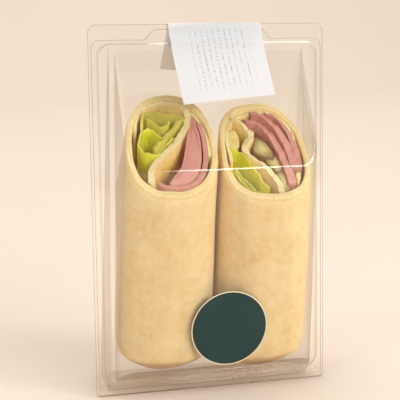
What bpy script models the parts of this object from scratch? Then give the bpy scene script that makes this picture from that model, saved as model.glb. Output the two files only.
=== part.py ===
# Two halves of a rolled ham and cheese wrap, standing in a shut clear hinged pack.
# Metres, +Z up. The pack stands on its tray's flat foot and leans back a little.

import math

import bmesh
import bpy
from mathutils import Vector

MM = 0.001

# Pack frame: X across, -Y towards the front, Z up the flange, zero at the hinge
PACK_LEAN = math.radians(3.1)
PACK_SHIFT_Y = -7.52 * MM
WALL = 0.4 * MM
GAP = 0.3 * MM
ARC_STEPS = 6

FLANGE_HALF_WIDTH = 64.0 * MM
FLANGE_HEIGHT = 195.0 * MM
FLANGE_CORNER = 4.5 * MM
HINGE_CORNER = 1.0 * MM
FLANGE_LOW = 0.05 * MM
LID_FLANGE_INSET = 1.4 * MM
LID_FLANGE_HEIGHT = 187.2 * MM
TAB_RISE = 5.3 * MM
TAB_HALF_WIDTH = 29.0 * MM
TAB_FOOT_HALF_WIDTH = 34.5 * MM

# The raised rim that stiffens both halves
RIM_HALF_WIDTH = 59.4 * MM
RIM_LOW = 6.7 * MM
RIM_HIGH = 185.0 * MM
RIM_CORNER_LOW = 8.0 * MM
RIM_CORNER_HIGH = 6.5 * MM
RIM_STEP = 2.5 * MM
RIM_DRAFT = 0.4 * MM

# The lid's box: a front face that leans out, and a slanted panel above it
LID_HALF_LOW = 54.0 * MM
LID_HALF_HIGH = 50.3 * MM
LID_LOW = 8.5 * MM
LID_HIGH = 190.0 * MM
LID_SIDE_DRAFT = 0.03
FACE_LOW = 15.4 * MM
FACE_LOW_DEPTH = 13.2 * MM
FACE_SLOPE = 0.166
CREASE_HEIGHT = 121.0 * MM
PANEL_SLOPE = 0.469
FOOT_SLOPE = 0.62
FACE_SIDE_ROUND = 13.0 * MM
FACE_FOOT_ROUND = 1.6 * MM

# The tray's box: deep at the foot and shallow at the top, with a heel from the rim down to the foot
TRAY_HALF_LOW = 56.0 * MM
TRAY_HALF_HIGH = 52.5 * MM
TRAY_HIGH = 190.0 * MM
TRAY_SIDE_DRAFT = 0.03
BACK_LOW_DEPTH = 39.6 * MM
BACK_SLOPE = 0.171
BACK_PANEL_HEIGHT = 182.0 * MM
BACK_PANEL_DEPTH = 3.0 * MM
BACK_PANEL_SLOPE = 0.475
BACK_SIDE_ROUND = 11.0 * MM
BACK_FOOT_ROUND = 3.0 * MM
HEEL_TOP = 7.6 * MM
HEEL_DEPTH = 5.5 * MM

# The seal label, folded over the flange's top edge
LABEL_WIDTH = 50.0 * MM
LABEL_LENGTH = 70.0 * MM
LABEL_CENTRE_X = 4.0 * MM
LABEL_CENTRE_ALONG = 5.0 * MM
LABEL_TURN = math.radians(5.0)
LABEL_THICKNESS = 0.2 * MM

# The round sticker on the front face
STICKER_RADIUS = 20.8 * MM
STICKER_X = 4.4 * MM
STICKER_HEIGHT = 36.0 * MM
STICKER_THICKNESS = 0.2 * MM
STICKER_SIDES = 48

# The wrap halves, measured along an axis that lies parallel to the front face
HALF_TURN = math.atan(FACE_SLOPE)
HALF_DEPTH_AT_FOOT = 12.3 * MM
HALF_SEMI_DEPTH = 22.0 * MM
TORTILLA_THICKNESS = 3.0 * MM
FLAP_THICKNESS = 2.6 * MM
SECTION_SIDES = 36
TOP_CLEARANCE = 172.0 * MM
FOOT_TIP = 4.7 * MM
FOOT_EDGE = 24.0 * MM
FOOT_POWER = 1.4
HOLLOW_FLOOR = 36.0 * MM
FILLING_FLOOR = 37.0 * MM

pack_parts = bpy.data.collections.new("ham_cheese_wrap")
helpers = bpy.data.collections.new("cutters")


def clear_scene():
    for old in list(bpy.data.objects):
        bpy.data.objects.remove(old)
    bpy.context.scene.collection.children.link(pack_parts)
    bpy.context.scene.collection.children.link(helpers)


def material(name, colour, roughness, alpha=1.0):
    made = bpy.data.materials.new(name)
    made.use_nodes = True
    shader = made.node_tree.nodes["Principled BSDF"]
    shader.inputs["Base Color"].default_value = (*colour, 1.0)
    shader.inputs["Roughness"].default_value = roughness
    shader.inputs["Metallic"].default_value = 0.0
    shader.inputs["Alpha"].default_value = alpha
    return made


def empty(name, parent=None, place=(0, 0, 0), turn_x=0.0):
    made = bpy.data.objects.new(name, None)
    made.parent = parent
    made.location = place
    made.rotation_euler.x = turn_x
    pack_parts.objects.link(made)
    return made


def face_outward(shape):
    shape.normal_update()
    bmesh.ops.recalc_face_normals(shape, faces=shape.faces)


def mesh_object(name, shape, parent, finish=None, helper=False):
    face_outward(shape)
    mesh = bpy.data.meshes.new(name)
    shape.to_mesh(mesh)
    shape.free()
    made = bpy.data.objects.new(name, mesh)
    made.parent = parent
    if finish:
        mesh.materials.append(finish)
    if helper:
        made.hide_render = True
        made.display_type = "WIRE"
    (helpers if helper else pack_parts).objects.link(made)
    return made


def boolean(target, other, operation):
    step = target.modifiers.new(other.name, "BOOLEAN")
    step.operation = operation
    step.object = other
    step.solver = "EXACT"


# Pack: two thin shells, each a rounded box with a stepped rim and a flat flange


def cut(shape, point, outward):
    """Cuts away what lies outward of a plane and closes the cut."""
    found = bmesh.ops.bisect_plane(
        shape,
        geom=shape.verts[:] + shape.edges[:] + shape.faces[:],
        plane_co=point,
        plane_no=outward,
        clear_outer=True,
    )
    edges = [item for item in found["geom_cut"] if isinstance(item, bmesh.types.BMEdge)]
    bmesh.ops.contextual_create(shape, geom=edges)


def round_edges(shape, chosen, width, steps):
    edges = [edge for edge in shape.edges if chosen(edge)]
    bmesh.ops.bevel(
        shape,
        geom=edges,
        offset=width,
        offset_type="OFFSET",
        segments=steps,
        profile=0.5,
        affect="EDGES",
        clamp_overlap=True,
    )


def tapered_box(side, half_low, half_high, low, high, deepest, draft):
    """A box behind (side 1) or before (side -1) the flange, narrower away from it and towards the top."""
    shape = bmesh.new()
    bmesh.ops.create_cube(shape, size=2.0)
    for vert in shape.verts:
        high_end = vert.co.z > 0
        depth = deepest if vert.co.y > 0 else RIM_STEP
        half = (half_high if high_end else half_low) - draft * (depth - RIM_STEP)
        vert.co = (math.copysign(half, vert.co.x), side * depth, high if high_end else low)
    face_outward(shape)
    return shape


def edge_between(edge, first, second):
    """Whether the edge parts a face that looks along first from one that looks along second."""
    if len(edge.link_faces) != 2:
        return False
    a, b = (face.normal for face in edge.link_faces)
    limit = math.cos(math.radians(30))
    return (a.dot(first) > limit and b.dot(second) > limit) or (b.dot(first) > limit and a.dot(second) > limit)


def rounded_outline(half, low, high, corner_low, corner_high, depth, tab=0.0):
    """Points round a flat outline, with the same count for every outline."""
    right = []
    for radius, centre_z, start in ((corner_low, low + corner_low, -90), (corner_high, high - corner_high, 0)):
        for step in range(ARC_STEPS + 1):
            turn = math.radians(start + 90 * step / ARC_STEPS)
            right.append((half - radius + radius * math.cos(turn), centre_z + radius * math.sin(turn)))
    right.append((TAB_FOOT_HALF_WIDTH, high))
    right.append((TAB_HALF_WIDTH, high + tab))
    left = [(-x, z) for x, z in reversed(right)]
    return [Vector((x, depth, z)) for x, z in right + left]


def add_ring(shape, points):
    verts = [shape.verts.new(point) for point in points]
    return [shape.edges.new((verts[i - 1], verts[i])) for i in range(len(verts))]


def fill_between(shape, outer, inner):
    bmesh.ops.triangle_fill(shape, use_beauty=True, edges=outer + inner, normal=(0, 1, 0))


def pack_shell(name, shape, side, flange, finish, parent):
    """Opens the box at the rim, adds the ledge, the rim's step and the flange, and gives it its wall."""
    shape.normal_update()
    rim = [face for face in shape.faces if face.normal.y * side < -0.99]
    bmesh.ops.delete(shape, geom=rim, context="FACES_ONLY")
    mouth = [edge for edge in shape.edges if edge.is_boundary]
    start = side * GAP / 2
    ledge = add_ring(
        shape,
        rounded_outline(
            RIM_HALF_WIDTH - RIM_DRAFT,
            RIM_LOW + RIM_DRAFT,
            RIM_HIGH - RIM_DRAFT,
            RIM_CORNER_LOW,
            RIM_CORNER_HIGH,
            side * RIM_STEP,
        ),
    )
    foot = add_ring(
        shape, rounded_outline(RIM_HALF_WIDTH, RIM_LOW, RIM_HIGH, RIM_CORNER_LOW, RIM_CORNER_HIGH, start)
    )
    edge = add_ring(shape, flange(start))
    fill_between(shape, ledge, mouth)
    bmesh.ops.bridge_loops(shape, edges=ledge + foot)
    fill_between(shape, edge, foot)
    bmesh.ops.remove_doubles(shape, verts=shape.verts, dist=1e-6)
    face_outward(shape)
    flat = max(shape.faces, key=lambda face: face.calc_area())
    if flat.normal.y * side < 0:
        bmesh.ops.reverse_faces(shape, faces=shape.faces)
    mesh = bpy.data.meshes.new(name)
    shape.to_mesh(mesh)
    shape.free()
    made = bpy.data.objects.new(name, mesh)
    made.parent = parent
    mesh.materials.append(finish)
    pack_parts.objects.link(made)
    wall = made.modifiers.new("wall", "SOLIDIFY")
    wall.thickness = WALL
    wall.offset = 1.0
    wall.use_even_offset = True
    return made


def face_depth(height):
    return FACE_LOW_DEPTH + FACE_SLOPE * (height - FACE_LOW)


def panel_depth(height):
    return face_depth(CREASE_HEIGHT) - PANEL_SLOPE * (height - CREASE_HEIGHT)


def make_lid(parent, finish):
    shape = tapered_box(-1, LID_HALF_LOW, LID_HALF_HIGH, LID_LOW, LID_HIGH, 45 * MM, LID_SIDE_DRAFT)
    front = Vector((0, -1, -FACE_SLOPE)).normalized()
    under = Vector((0, -FOOT_SLOPE, -1)).normalized()
    cut(shape, (0, -face_depth(CREASE_HEIGHT), CREASE_HEIGHT), front)
    cut(shape, (0, -FACE_LOW_DEPTH, FACE_LOW), under)
    shape.normal_update()
    right = Vector((1, 0, 0))
    sides = (right, -right)
    round_edges(shape, lambda edge: any(edge_between(edge, front, side) for side in sides), FACE_SIDE_ROUND, 7)
    shape.normal_update()
    round_edges(shape, lambda edge: edge_between(edge, under, front), FACE_FOOT_ROUND, 2)
    cut(shape, (0, -panel_depth(CREASE_HEIGHT), CREASE_HEIGHT), Vector((0, -1, PANEL_SLOPE)).normalized())
    return pack_shell("lid", shape, -1, lid_flange, finish, parent)


def lid_flange(depth):
    half = FLANGE_HALF_WIDTH - LID_FLANGE_INSET
    return rounded_outline(half, FLANGE_LOW, LID_FLANGE_HEIGHT, HINGE_CORNER, FLANGE_CORNER, depth, TAB_RISE)


def tray_flange(depth):
    return rounded_outline(FLANGE_HALF_WIDTH, FLANGE_LOW, FLANGE_HEIGHT, HINGE_CORNER, FLANGE_CORNER, depth)


def make_tray(parent, finish):
    """The tray's underside lies level once the pack leans back, so the pack stands on it."""
    shape = tapered_box(1, TRAY_HALF_LOW, TRAY_HALF_HIGH, -5 * MM, TRAY_HIGH, 45 * MM, TRAY_SIDE_DRAFT)
    back = Vector((0, 1, BACK_SLOPE)).normalized()
    under = Vector((0, math.tan(PACK_LEAN), -1)).normalized()
    cut(shape, (0, BACK_LOW_DEPTH, 0), back)
    shape.normal_update()
    right = Vector((1, 0, 0))
    sides = (right, -right)
    round_edges(shape, lambda edge: any(edge_between(edge, back, side) for side in sides), BACK_SIDE_ROUND, 5)
    cut(shape, (0, 0, WALL + FLANGE_LOW / 2), under)
    shape.normal_update()
    round_edges(shape, lambda edge: edge_between(edge, back, under), BACK_FOOT_ROUND, 3)
    cut(shape, (0, RIM_STEP, HEEL_TOP), Vector((0, -HEEL_TOP, -HEEL_DEPTH)).normalized())
    cut(shape, (0, BACK_PANEL_DEPTH, BACK_PANEL_HEIGHT), Vector((0, 1, BACK_PANEL_SLOPE)).normalized())
    return pack_shell("tray", shape, 1, tray_flange, finish, parent)


# Label and sticker: thin paper on the pack's outside


def label_path():
    """Corners of the label's path over the pack as (way along the label, depth, height); front positive."""
    away = WALL + GAP + LABEL_THICKNESS / 2
    front_away = away * math.hypot(1, PANEL_SLOPE)
    back_away = away * math.hypot(1, BACK_PANEL_SLOPE)
    flange_away = away + GAP / 2
    top = FLANGE_HEIGHT + GAP + LABEL_THICKNESS / 2
    shoulder = CREASE_HEIGHT + (panel_depth(CREASE_HEIGHT) + front_away - RIM_STEP - away) / PANEL_SLOPE
    back_shoulder = BACK_PANEL_HEIGHT + (BACK_PANEL_DEPTH + back_away - RIM_STEP - away) / BACK_PANEL_SLOPE
    corners = [
        (-panel_depth(145 * MM) - front_away, 145 * MM),
        (-(RIM_STEP + away), shoulder),
        (-(RIM_STEP + away), RIM_HIGH + away),
        (-flange_away, RIM_HIGH + 3 * RIM_STEP),
        (-flange_away, top),
        (flange_away, top),
        (flange_away, RIM_HIGH + 2 * RIM_STEP),
        (RIM_STEP + away, RIM_HIGH + away),
        (RIM_STEP + away, back_shoulder),
        (BACK_PANEL_DEPTH + back_away + BACK_PANEL_SLOPE * 22 * MM, BACK_PANEL_HEIGHT - 22 * MM),
    ]
    ways = [0.0]
    for (y0, z0), (y1, z1) in zip(corners, corners[1:]):
        ways.append(ways[-1] + math.hypot(y1 - y0, z1 - z0))
    fold = (ways[4] + ways[5]) / 2
    return [(fold - way, y, z) for way, (y, z) in zip(ways, corners)]


def make_label(parent, finish):
    path = label_path()
    shape = bmesh.new()
    bmesh.ops.create_grid(shape, x_segments=1, y_segments=1, size=0.5)
    for vert in shape.verts:
        x, along = vert.co.x * LABEL_WIDTH, vert.co.y * LABEL_LENGTH
        vert.co = (
            LABEL_CENTRE_X + x * math.cos(LABEL_TURN) + along * math.sin(LABEL_TURN),
            LABEL_CENTRE_ALONG - x * math.sin(LABEL_TURN) + along * math.cos(LABEL_TURN),
            0,
        )
    for way, _, _ in path[1:-1]:
        bmesh.ops.bisect_plane(
            shape, geom=shape.verts[:] + shape.edges[:] + shape.faces[:], plane_co=(0, way, 0), plane_no=(0, 1, 0)
        )
    for vert in shape.verts:
        for (way_a, y_a, z_a), (way_b, y_b, z_b) in zip(path, path[1:]):
            if way_a + 1e-7 >= vert.co.y >= way_b - 1e-7:
                part = (way_a - vert.co.y) / (way_a - way_b)
                vert.co = (vert.co.x, y_a + part * (y_b - y_a), z_a + part * (z_b - z_a))
                break
    made = mesh_object("label", shape, parent, finish)
    paper = made.modifiers.new("paper", "SOLIDIFY")
    paper.thickness = LABEL_THICKNESS
    paper.offset = 0.0
    return made


def make_sticker(parent, finish):
    shape = bmesh.new()
    bmesh.ops.create_cone(
        shape,
        cap_ends=True,
        segments=STICKER_SIDES,
        radius1=STICKER_RADIUS,
        radius2=STICKER_RADIUS,
        depth=STICKER_THICKNESS,
    )
    made = mesh_object("sticker", shape, parent, finish)
    stand_off = WALL + GAP + STICKER_THICKNESS / 2
    made.rotation_euler.x = math.pi / 2 + HALF_TURN
    made.location = (
        STICKER_X,
        -face_depth(STICKER_HEIGHT) - stand_off * math.cos(HALF_TURN),
        STICKER_HEIGHT - stand_off * math.sin(HALF_TURN),
    )
    return made


# Wrap halves: u across, v towards the back, w up the half's axis


class Half:
    """One half of the wrap: where it stands, how its section narrows towards the cut, and its cut."""

    def __init__(self, name, centre_x, left, right, left_high, right_high, power, cut_middle, cut_slope):
        self.name = name
        self.centre_x = centre_x
        self.left = left
        self.right = right
        self.left_high = left_high
        self.right_high = right_high
        self.power = power
        self.cut_middle = cut_middle
        self.cut_slope = cut_slope
        self.frame = None

    def section(self, w, inset=0.0, scale=1.0):
        rise = min(max((w - 105 * MM) / (52 * MM), 0.0), 1.0)
        rise = rise * rise * (3 - 2 * rise)
        left = self.left + (self.left_high - self.left) * rise + inset
        right = self.right + (self.right_high - self.right) * rise - inset
        middle, half = (left + right) / 2, (right - left) / 2 * scale
        deep = (HALF_SEMI_DEPTH - inset) * scale
        points = []
        for step in range(SECTION_SIDES):
            turn = 2 * math.pi * step / SECTION_SIDES
            cosine, sine = math.cos(turn), math.sin(turn)
            u = middle + half * math.copysign(abs(cosine) ** (2 / self.power), cosine)
            v = deep * math.copysign(abs(sine) ** (2 / self.power), sine)
            points.append(Vector((u, v, w)))
        return points

    def cut_height(self, v, lift=0.0):
        return self.cut_middle + self.cut_slope * v + lift


def loft(sections):
    shape = bmesh.new()
    rings = [[shape.verts.new(point) for point in points] for points in sections]
    for lower, upper in zip(rings, rings[1:]):
        for i in range(len(lower)):
            shape.faces.new((lower[i - 1], lower[i], upper[i], upper[i - 1]))
    shape.faces.new(reversed(rings[0]))
    shape.faces.new(rings[-1])
    return shape


def foot_sections(half):
    """The folded-in end: its edge rounds under and its middle bulges down to the tray."""
    sections = []
    for share in (0.1, 0.3, 0.5, 0.7, 0.84, 0.93):
        height = FOOT_TIP + (FOOT_EDGE - FOOT_TIP) * share**FOOT_POWER
        sections.append(half.section(height, scale=share))
    sections.append(half.section(FOOT_EDGE + 1.5 * MM, scale=0.985))
    return sections


def curve_point(a, b, c, d, t):
    """A point between b and c on the Catmull-Rom curve through a, b, c and d."""
    return 0.5 * (2 * b + (c - a) * t + (2 * a - 5 * b + 4 * c - d) * t**2 + (3 * b - a - 3 * c + d) * t**3)


def smooth_path(points, steps=3):
    """A smooth curve through the points."""
    ends = [2 * Vector(points[0]) - Vector(points[1]), 2 * Vector(points[-1]) - Vector(points[-2])]
    all_points = [ends[0]] + [Vector(point) for point in points] + [ends[1]]
    path = []
    for a, b, c, d in zip(all_points, all_points[1:], all_points[2:], all_points[3:]):
        for step in range(steps):
            path.append(curve_point(a, b, c, d, step / steps))
    path.append(all_points[-2])
    return path


def sheet_outline(points, thickness):
    """The cut edge of a sheet that follows the points, as a closed outline in millimetres."""
    path = smooth_path(points)
    left, right = [], []
    for i, point in enumerate(path):
        ahead = path[min(i + 1, len(path) - 1)] - path[max(i - 1, 0)]
        side = Vector((-ahead.y, ahead.x)).normalized() * thickness / 2
        left.append(point + side)
        right.append(point - side)
    return left + right[::-1]


def lump_outline(points):
    """A closed smooth outline round the points, in millimetres."""
    ring = [Vector(point) for point in points]
    count = len(ring)
    path = []
    for i in range(count):
        a, b, c, d = (ring[(i + k) % count] for k in (-1, 0, 1, 2))
        for t in (0.0, 0.5):
            path.append(curve_point(a, b, c, d, t))
    return path


def standing_prism(outline, half, floor, lift, wave=0.0):
    """The outline carried up the half from floor to the slanted cut, in a gentle wave where it is a leaf."""
    levels = 7 if wave else 2
    shape = bmesh.new()
    rings = []
    for level in range(levels):
        part = level / (levels - 1)
        ring = []
        for point in outline:
            u, v = point.x * MM, point.y * MM
            sway = wave * math.sin(math.pi * part) * math.sin(3 * math.pi * part + u / (4 * MM))
            top = half.cut_height(v, lift)
            ring.append(shape.verts.new((u + sway, v + sway / 2, floor + part * (top - floor))))
        rings.append(ring)
    for lower, upper in zip(rings, rings[1:]):
        for i in range(len(lower)):
            shape.faces.new((lower[i - 1], lower[i], upper[i], upper[i - 1]))
    shape.faces.new(reversed(rings[0]))
    shape.faces.new(rings[-1])
    return shape


def make_tortilla(half, flap_points, finish):
    heights = [32, 60, 90, 105, 115, 125, 135, 145, 157, 172]
    outside = foot_sections(half) + [half.section(height * MM) for height in heights]
    hollow_heights = [HOLLOW_FLOOR] + [height * MM for height in heights[1:]] + [TOP_CLEARANCE + 5 * MM]
    hollow = loft([half.section(height, inset=TORTILLA_THICKNESS) for height in hollow_heights])
    made = mesh_object(f"tortilla_{half.name}", loft(outside), half.frame, finish)
    hollow = mesh_object(f"hollow_{half.name}", hollow, half.frame, helper=True)
    outline = sheet_outline(flap_points, FLAP_THICKNESS / MM)
    flap_shape = standing_prism(outline, half, HOLLOW_FLOOR - TORTILLA_THICKNESS, 8 * MM)
    flap = mesh_object(f"flap_{half.name}", flap_shape, half.frame, helper=True)
    boolean(made, hollow, "DIFFERENCE")
    boolean(made, flap, "UNION")
    boolean(made, cut_block(half), "DIFFERENCE")
    return made


def cut_block(half):
    """A block that fills everything above the half's slanted cut."""
    reach = 60 * MM
    shape = bmesh.new()
    bmesh.ops.create_cube(shape, size=2.0)
    for vert in shape.verts:
        v = vert.co.y * reach
        base = half.cut_height(v)
        vert.co = (vert.co.x * reach, v, base if vert.co.z < 0 else base + 2 * reach)
    return mesh_object(f"cut_{half.name}", shape, half.frame, helper=True)


def make_filling(name, half, outline, finish, lift=0.0, wave=0.0):
    shape = standing_prism(outline, half, FILLING_FLOOR, lift, wave)
    return mesh_object(name, shape, half.frame, finish)


def build():
    clear_scene()
    clear_plastic = material("clear_plastic", (0.92, 0.93, 0.92), 0.05, alpha=0.25)
    white_paper = material("white_paper", (0.84, 0.85, 0.85), 0.55)
    green_paper = material("dark_green_paper", (0.036, 0.066, 0.06), 0.45)
    tortilla = material("tortilla", (0.80, 0.56, 0.27), 0.75)
    ham = material("ham", (0.68, 0.34, 0.26), 0.4)
    lettuce = material("lettuce", (0.47, 0.50, 0.04), 0.45)
    cheese = material("cheese", (0.80, 0.62, 0.22), 0.45)
    pickle = material("pickle", (0.50, 0.42, 0.12), 0.35)

    pack = empty("pack_frame", place=(0, PACK_SHIFT_Y, 0), turn_x=-PACK_LEAN)
    make_lid(pack, clear_plastic)
    make_tray(pack, clear_plastic)
    make_label(pack, white_paper)
    make_sticker(pack, green_paper)

    left = Half("left", -24.5 * MM, -25.4 * MM, 25.0 * MM, -20.6 * MM, 25.2 * MM, 2.3, 133.7 * MM, 1.02)
    right = Half("right", 26.7 * MM, -25.2 * MM, 25.2 * MM, -22.6 * MM, 22.6 * MM, 2.5, 129.8 * MM, 0.963)
    for half in (left, right):
        half.frame = empty(f"half_{half.name}_frame", pack, (half.centre_x, HALF_DEPTH_AT_FOOT, 0), HALF_TURN)

    # Left half: a flap from the back right to the front left parts the lettuce from the ham
    left_flap = [
        (-13.5, 17.5), (-5, 18.7), (4, 18.8), (11.6, 16.6), (12.5, 11.4), (7.6, 4.6),
        (1.2, -0.8), (-5.5, -4.6), (-10.4, -8.6), (-12.4, -12.6), (-13.6, -17.6),
    ]
    make_tortilla(left, left_flap, tortilla)
    leaf_thickness = 0.9
    left_leaves = {
        "lettuce_left_back": [(-14.3, 2.2), (-12.8, 8), (-9.2, 12.2), (-2, 13.4), (4, 12.8), (8.6, 12.2)],
        "lettuce_left_rib": [(8.2, 9.4), (4.6, 7.6), (0.4, 4.4), (-4, 2), (-8.6, -0.4), (-12.8, -1.4)],
        "lettuce_left_fold": [(-9.6, 9.8), (-6.2, 10.2), (-2.6, 8), (1.8, 9.4)],
        "lettuce_left_front": [(-12.2, 4.4), (-9, 6.4), (-5.6, 5.4), (-7.4, 2.6), (-11, 1.8)],
    }
    for name, points in left_leaves.items():
        make_filling(name, left, sheet_outline(points, leaf_thickness), lettuce, lift=-1.5 * MM, wave=0.5 * MM)
    inner_ham = [
        (16.2, 11.2), (16.0, 3.4), (16.6, -2.8), (15.4, -8), (12.6, -12.0), (8, -14.8),
        (2, -16.0), (-3.2, -15.6), (3, -12.6), (6.6, -8), (9.2, -2.6), (11.6, 2.6),
    ]
    make_filling("ham_left_inner", left, lump_outline(inner_ham), ham)
    outer_ham = [
        (18.1, 4.4), (19.4, -0.4), (18.5, -6.2), (15.8, -11.8),
        (10.4, -16), (2.6, -17.7), (-5.4, -17.1), (-9.2, -15.4),
    ]
    make_filling("ham_left_outer", left, sheet_outline(outer_ham, 1.8), ham)

    # Right half: a crumpled flap, lettuce before it, then pickle slices and folded ham behind
    right_flap = [
        (-14.6, 17.4), (-10.6, 14.4), (-6.8, 10.8), (-4.6, 7.2), (-8.6, 3.6), (-10, 0),
        (-6.4, -3), (-2.8, -5.4), (0.6, -8.8), (3.6, -12.8), (4.8, -16.2), (4.4, -20.4),
    ]
    make_tortilla(right, right_flap, tortilla)
    right_leaves = {
        "lettuce_right_outer": [
            (-17.6, 0.8), (-17.4, -6), (-15.8, -11.4), (-11, -14.6), (-5, -16.6), (-0.4, -16.6)
        ],
        "lettuce_right_inner": [(-13.8, 0.2), (-12, -4.4), (-9.4, -8.4), (-6, -11.2), (-2.6, -12.4)],
        "lettuce_right_rib": [(-15, -3.2), (-13.6, -8), (-10, -11.6), (-5.4, -13.8), (-1, -14.6)],
    }
    for name, points in right_leaves.items():
        make_filling(name, right, sheet_outline(points, leaf_thickness), lettuce, lift=-1.0 * MM, wave=0.35 * MM)
    cheese_slice = [(-18.4, 7.2), (-14.8, 9.6), (-13.2, 7.6), (-13.4, 4.0), (-15.6, 2.9), (-18.6, 4.0)]
    make_filling("cheese_right_slice", right, lump_outline(cheese_slice), cheese, lift=-1.0 * MM)
    cheese_crumb = [(15.0, -10.9), (17.6, -10.6), (16.8, -13.2), (14.8, -13.8)]
    make_filling("cheese_right_edge", right, lump_outline(cheese_crumb), cheese, lift=0.5 * MM)
    pickles = {
        "pickle_right_back": [(-2.2, 6.2), (1.8, 4.6), (4.4, 1.4), (2.6, -1.4), (-1.8, 0.2), (-4.6, 2.4)],
        "pickle_right_middle": [(3.6, -2.2), (5.4, 0.6), (7.2, -1.8), (8.4, -6), (6, -7.6), (2.6, -5.4)],
        "pickle_right_front": [(5.8, -9.6), (9.0, -9.4), (9.9, -13), (9.5, -16.4), (7.4, -16.2), (6.6, -12.8)],
    }
    for name, points in pickles.items():
        make_filling(name, right, lump_outline(points), pickle, lift=-1.0 * MM)
    ham_sheets = {
        "ham_right_inner": [
            (-5.4, 13.9), (-0.6, 12.7), (4.4, 8.8), (8, 3.4), (10.4, -3), (11.8, -9.4), (12.2, -15)
        ],
        "ham_right_middle": [(-4.4, 16.6), (1.8, 15.3), (7.6, 11.4), (11.5, 5.6), (13.8, -1), (14.7, -8)],
        "ham_right_outer": [(5.6, 16.8), (11.4, 13.6), (15.4, 8.4), (17.4, 2), (18, -4), (17.6, -8.4)],
    }
    ham_thickness = 2.4
    for name, points in ham_sheets.items():
        make_filling(name, right, sheet_outline(points, ham_thickness), ham)


build()
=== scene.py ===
import math

import bmesh
import bpy
from mathutils import Matrix, Vector, noise


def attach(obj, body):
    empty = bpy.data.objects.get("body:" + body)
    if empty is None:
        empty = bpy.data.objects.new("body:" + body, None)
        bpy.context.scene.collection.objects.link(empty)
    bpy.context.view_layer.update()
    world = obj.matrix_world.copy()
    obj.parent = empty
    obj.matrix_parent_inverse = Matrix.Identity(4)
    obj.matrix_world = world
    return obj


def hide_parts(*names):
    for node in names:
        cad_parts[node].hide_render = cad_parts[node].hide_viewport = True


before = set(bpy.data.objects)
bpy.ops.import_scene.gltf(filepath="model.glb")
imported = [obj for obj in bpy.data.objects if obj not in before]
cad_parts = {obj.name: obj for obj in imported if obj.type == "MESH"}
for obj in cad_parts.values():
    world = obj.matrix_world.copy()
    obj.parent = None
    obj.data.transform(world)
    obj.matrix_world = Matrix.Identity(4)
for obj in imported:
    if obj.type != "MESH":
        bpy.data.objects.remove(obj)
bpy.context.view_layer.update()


# The clear hinged pack: one thin sheet of clear plastic, formed hot over a mould into a deep tray and a
# shallower lid, each with a stepped rim and a flat flange. The two halves fold shut along the beads at the
# foot. Sizes here are in millimetres: X across, -Y to the front, Z up the flange from the hinge.
PACK_LEAN = math.radians(3.1)
PACK_FRAME = (
    Matrix.Translation((0, -0.00752, 0)) @ Matrix.Rotation(-PACK_LEAN, 4, "X") @ Matrix.Scale(0.001, 4)
)
# The lid's face leans out from its low edge up to the crease, and the panel above it slants back.
FACE_SLOPE = 0.166
FACE_LOW, FACE_LOW_DEPTH = 15.4, 13.2
CREASE, PANEL_SLOPE, PANEL_TOP = 121.0, 0.469, 176
# The tray's back slants in above its shoulder, and its heel slants in below the rim.
BACK_DEPTH, BACK_SLOPE = 39.6, 0.171
SHOULDER, SHOULDER_DEPTH, SHOULDER_SLOPE = 182.0, 3.0, 0.475
HEEL_TOP, HEEL_DEPTH = 7.6, 5.5
BASE_LIFT = 0.425
# The mould blocks' depth from the flange, and how much narrower they get for each millimetre of it.
BLOCK_DEPTH, DRAFT = 45, 0.03
FLANGE_FACE = 0.15
RIM_STEP = 2.5
SHEET = 0.4
EDGE_RADIUS = 0.2
# Outlines: half width, low, high, and the radius of the low and the high corners.
RIM_FOOT = (59.0, 7.1, 184.6, 8.0, 6.5)
RIM_HEAD = (59.4, 6.7, 185.0, 8.0, 6.5)
LID_FLANGE = (62.6, 0.05, 187.2, 1.0, 4.5)
TRAY_FLANGE = (64.0, 0.05, 195.0, 1.0, 4.5)
# The tab's height, and its right side as points: (across, share of that height).
TAB = 5.3
TAB_SIDE = ((34.5, 0), (33.6, 0.12), (29.9, 0.9), (28.4, 1))
# The hinge's beads: the heights of the lines cut into the flange, and of those that are pulled out.
BEAD_LINES = (6.1, 5.65, 5.2, 4.2, 3.7, 3.2, 2.2)
BEAD_TOPS, BEAD_RISE, BEADS_BELOW = (5.65, 3.7), 0.5, 15.5


def only(piece):
    """Leaves one object selected and active."""
    if bpy.context.mode != "OBJECT":
        bpy.ops.object.mode_set(mode="OBJECT")
    bpy.ops.object.select_all(action="DESELECT")
    piece.select_set(True)
    bpy.context.view_layer.objects.active = piece


def named(name):
    piece = bpy.context.object
    piece.name = name
    piece.data.name = name
    only(piece)
    return piece


def settle(piece, place):
    """Puts a piece in its place in the pack and applies that to its mesh."""
    only(piece)
    piece.matrix_world = place
    bpy.ops.object.transform_apply(location=True, rotation=True, scale=True)


def modify(piece, kind, **settings):
    only(piece)
    step = piece.modifiers.new(kind.lower(), kind)
    for key, value in settings.items():
        setattr(step, key, value)
    bpy.ops.object.modifier_apply(modifier=step.name)


def pick(piece, kind, chosen):
    """Selects in edit mode the verts, edges or faces that a test chooses."""
    bpy.ops.mesh.select_mode(type={"verts": "VERT", "edges": "EDGE", "faces": "FACE"}[kind])
    bpy.ops.mesh.select_all(action="DESELECT")
    shape = bmesh.from_edit_mesh(piece.data)
    shape.normal_update()
    for item in getattr(shape, kind):
        if chosen(item):
            item.select_set(True)
    shape.select_flush_mode()
    bmesh.update_edit_mesh(piece.data)


def slice_off(piece, point, outward):
    bpy.ops.mesh.select_all(action="SELECT")
    bpy.ops.mesh.bisect(plane_co=point, plane_no=outward, use_fill=True, clear_outer=True)


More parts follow.
